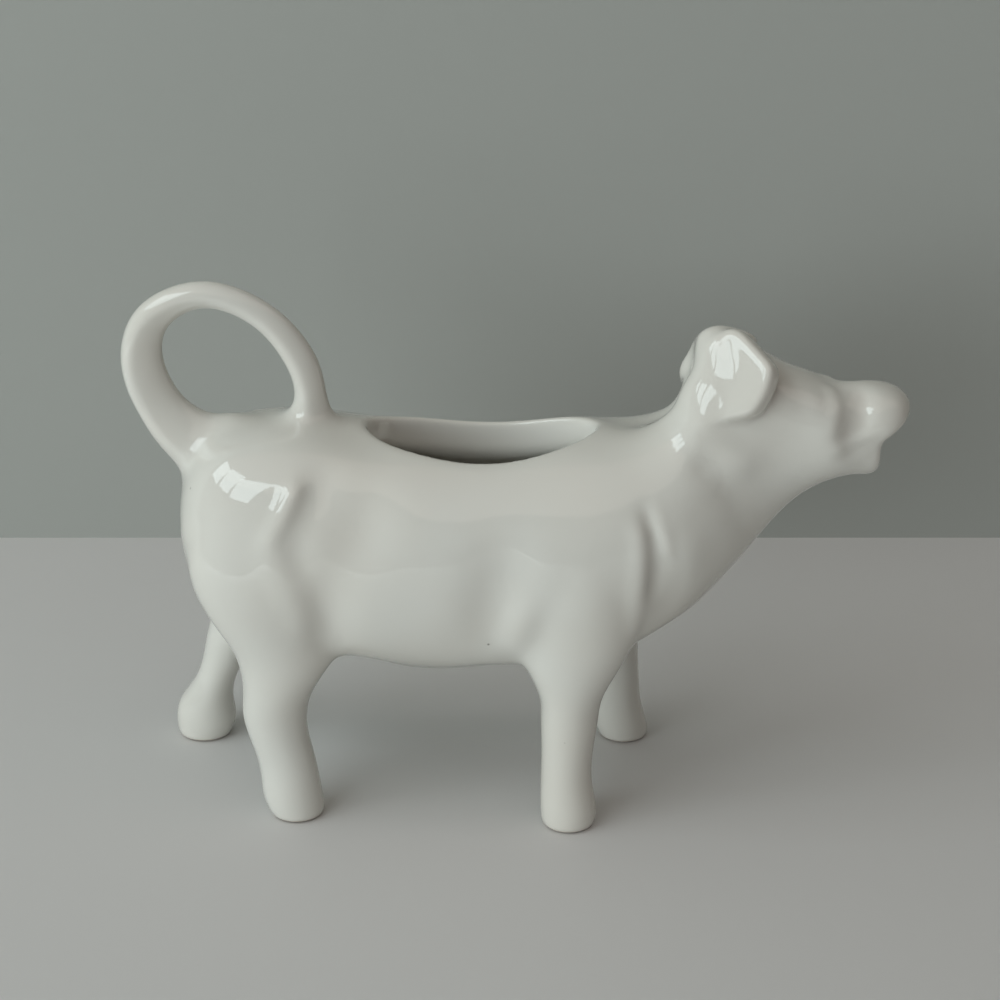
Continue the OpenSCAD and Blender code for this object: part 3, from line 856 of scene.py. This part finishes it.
def glaze():
    """White glaze: it pools in hollows and thins on edges, with fine waves and iron specks."""
    material = bpy.data.materials.new("glaze")
    material.use_nodes = True
    tree = material.node_tree
    shader = tree.nodes["Principled BSDF"]

    def node(kind, links=(), **settings):
        made = tree.nodes.new(kind)
        for key, value in settings.items():
            setattr(made, key, value)
        for socket, source in links:
            if isinstance(source, bpy.types.NodeSocket):
                tree.links.new(source, made.inputs[socket])
            else:
                made.inputs[socket].default_value = source
        return made

    def ranged(source, low, high, to_low, to_high):
        return node("ShaderNodeMapRange", [
            (0, source), (1, low), (2, high), (3, to_low), (4, to_high)]).outputs[0]

    def mixed(factor, first, second):
        made = node("ShaderNodeMix", [(0, factor)], data_type="RGBA")
        for index, source in ((6, first), (7, second)):
            if isinstance(source, bpy.types.NodeSocket):
                tree.links.new(source, made.inputs[index])
            else:
                made.inputs[index].default_value = (*source, 1)
        return made.outputs[2]

    def noise(scale, detail):
        made = node("ShaderNodeTexNoise", [("Vector", place), ("Scale", scale), ("Detail", detail)])
        return made.outputs[0]

    place = node("ShaderNodeTexCoord").outputs["Object"]
    bend = node("ShaderNodeAttribute", attribute_name="bend").outputs["Fac"]
    drift = noise(drift_scale, 3.0)
    waves = noise(wave_scale, 2.0)
    grain = noise(grain_scale, 2.0)
    cells = node("ShaderNodeTexVoronoi", [("Vector", place), ("Scale", speck_scale)])
    spot = ranged(cells.outputs["Distance"], *speck_radii, 1.0, 0.0)
    pick = node("ShaderNodeSeparateColor", [(0, cells.outputs["Color"])]).outputs[0]
    picked = ranged(pick, *speck_picks, 0.0, speck_share)
    speck = node("ShaderNodeMath", [(0, spot), (1, picked)], operation="MULTIPLY").outputs[0]
    height = node("ShaderNodeSeparateXYZ", [(0, place)]).outputs[2]
    # Band up to about a millimetre above the floor: bare clay of the feet, and painted contact
    # shade along the floor
    sole = ranged(height, *sole_heights, 1.0, 0.0)

    colour = mixed(ranged(drift, *warm_drift, 0.0, 1.0), glaze_white, glaze_warm)
    colour = mixed(ranged(bend, *pooled_bend, 0.0, pooled_share), colour, glaze_pooled)
    colour = mixed(ranged(bend, *thin_bend, 0.0, thin_share), colour, glaze_thin)
    colour = mixed(speck, colour, speck_colour)
    tree.links.new(mixed(sole, colour, bare_clay_and_contact_shade), shader.inputs["Base Color"])
    roughness = ranged(drift, *gloss_drift, *glaze_roughness)
    roughness = node("ShaderNodeMath", [(0, roughness), (1, sole)], operation="MAXIMUM").outputs[0]
    tree.links.new(roughness, shader.inputs["Roughness"])
    shader.inputs["IOR"].default_value = glaze_ior
    shader.inputs["Coat Weight"].default_value = coat_weight
    shader.inputs["Coat Roughness"].default_value = coat_roughness
    relief = node("ShaderNodeMath", [(0, waves), (1, wave_height), (2, grain)],
                  operation="MULTIPLY_ADD").outputs[0]
    bump = node("ShaderNodeBump",
                [("Height", relief), ("Strength", 1.0), ("Distance", relief_distance)])
    tree.links.new(bump.outputs[0], shader.inputs["Normal"])
    return material


glaze_finish = glaze()
vertices, faces, number = cut_at_joints(points, quads)
steady = softened(skin)
slopes = [np.gradient(steady, axis=axis) for axis in range(3)]
slope = np.stack([sampled(part, vertices)[0] for part in slopes], -1)
normals = slope / np.linalg.norm(slope, axis=1)[:, None]
curving = sum(np.gradient(part, axis=axis) for axis, part in enumerate(slopes)) / field_step**2
bend = np.clip(sampled(curving, vertices)[0], -bend_limit, bend_limit)
for index, name in enumerate(castings):
    mesh = capped(vertices, [f for f, n in zip(faces, number) if n == index], normals, bend)
    mesh.name = name + "_glazed"
    mesh.materials.append(glaze_finish)
    piece = bpy.data.objects.new(name + "_glazed", mesh)
    bpy.context.scene.collection.objects.link(piece)
    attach(piece, "root")
    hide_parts(name)

# Stage: a pale floor, and a wall behind that shows from the front only and faces the camera
floor_reach = 3.0
wall_place = 0.138
view_turn = math.radians(2.0)
floor_colour, floor_roughness = (0.70, 0.69, 0.68), 0.6
backdrop_colour, backdrop_roughness = (0.375, 0.385, 0.36), 0.8


def plain(name, colour, roughness, one_sided=False):
    """Plain paint; one-sided, it is clear from behind."""
    material = bpy.data.materials.new(name)
    material.use_nodes = True
    tree = material.node_tree
    shader = tree.nodes["Principled BSDF"]
    shader.inputs["Base Color"].default_value = (*colour, 1)
    shader.inputs["Roughness"].default_value = roughness
    if one_sided:
        mix = tree.nodes.new("ShaderNodeMixShader")
        clear = tree.nodes.new("ShaderNodeBsdfTransparent")
        facing = tree.nodes.new("ShaderNodeNewGeometry")
        tree.links.new(facing.outputs["Backfacing"], mix.inputs[0])
        tree.links.new(shader.outputs[0], mix.inputs[1])
        tree.links.new(clear.outputs[0], mix.inputs[2])
        tree.links.new(mix.outputs[0], tree.nodes["Material Output"].inputs["Surface"])
    return material


def sheet(name, corners, material):
    """A piece of the stage with four corners."""
    mesh = bpy.data.meshes.new(name)
    mesh.from_pydata(corners, [], [(0, 1, 2, 3)])
    mesh.materials.append(material)
    ob = bpy.data.objects.new(name, mesh)
    bpy.context.scene.collection.objects.link(ob)
    return ob


far = floor_reach
sheet("floor", [(-far, -far, 0), (far, -far, 0), (far, far, 0), (-far, far, 0)],
      plain("floor_paint", floor_colour, floor_roughness))
backdrop = sheet(
    "backdrop",
    [(-far, wall_place, 0), (far, wall_place, 0), (far, wall_place, far), (-far, wall_place, far)],
    plain("backdrop_paint", backdrop_colour, backdrop_roughness, one_sided=True))
backdrop.rotation_euler.z = view_turn

# Camera
camera_pitch = math.radians(22.0)
camera_sensor, camera_lens = 36.0, 82.8
camera_distance = 0.498
camera_aim = Vector((-0.0032, 0, 0.0672))
back = Vector((math.sin(view_turn) * math.cos(camera_pitch),
               -math.cos(view_turn) * math.cos(camera_pitch), math.sin(camera_pitch)))
camera = bpy.data.objects.new("camera", bpy.data.cameras.new("camera"))
camera.data.sensor_width = camera_sensor
camera.data.lens = camera_lens
camera.location = camera_aim + camera_distance * back
camera.rotation_mode = "QUATERNION"
camera.rotation_quaternion = (-back).to_track_quat("-Z", "Y")
bpy.context.scene.collection.objects.link(camera)
bpy.context.scene.camera = camera


lamp_aim = Vector((0, 0, 0.06))


def softbox(name, place, size, watts, colour):
    """A plain rectangular lamp that faces the cow."""
    data = bpy.data.lights.new(name, "AREA")
    data.shape = "RECTANGLE"
    data.size, data.size_y = size
    data.energy = watts
    data.color = colour
    ob = bpy.data.objects.new(name, data)
    ob.location = place
    ob.rotation_mode = "QUATERNION"
    ob.rotation_quaternion = (lamp_aim - Vector(place)).to_track_quat("-Z", "Y")
    bpy.context.scene.collection.objects.link(ob)
    return ob


# A wide window of three panes, high on the left, a pale wall below it and a ceiling
window_way = Vector((-0.61, -0.33, 0.72)).normalized()
window_distance = 1.1
window_side = window_way.cross(Vector((0, 0, 1))).normalized()
pane_size, pane_spacing, pane_watts = (0.27, 0.38), 0.30, 0.78
for i, name in enumerate(("window_left", "window_middle", "window_right")):
    place = window_way * window_distance + window_side * (i - 1) * pane_spacing + lamp_aim
    softbox(name, place, pane_size, pane_watts, colour=(0.84, 0.98, 1.0))
pale_wall = softbox("pale_wall", place=(-1.15, -1.25, 0.36), size=(2.0, 0.62), watts=18.5,
                    colour=(0.90, 0.985, 1.0))
pale_wall.visible_glossy = False
softbox("ceiling", place=(0.1, -0.1, 1.7), size=(3.0, 3.0), watts=10.0, colour=(1.0, 0.87, 0.76))

# Faint light of the room from all sides
world = bpy.data.worlds.new("room")
bpy.context.scene.world = world
world.use_nodes = True
room = world.node_tree.nodes["Background"]
room.inputs["Color"].default_value = (0.62, 0.58, 0.57, 1)
room.inputs["Strength"].default_value = 0.2

bpy.context.scene.view_settings.view_transform = "Standard"
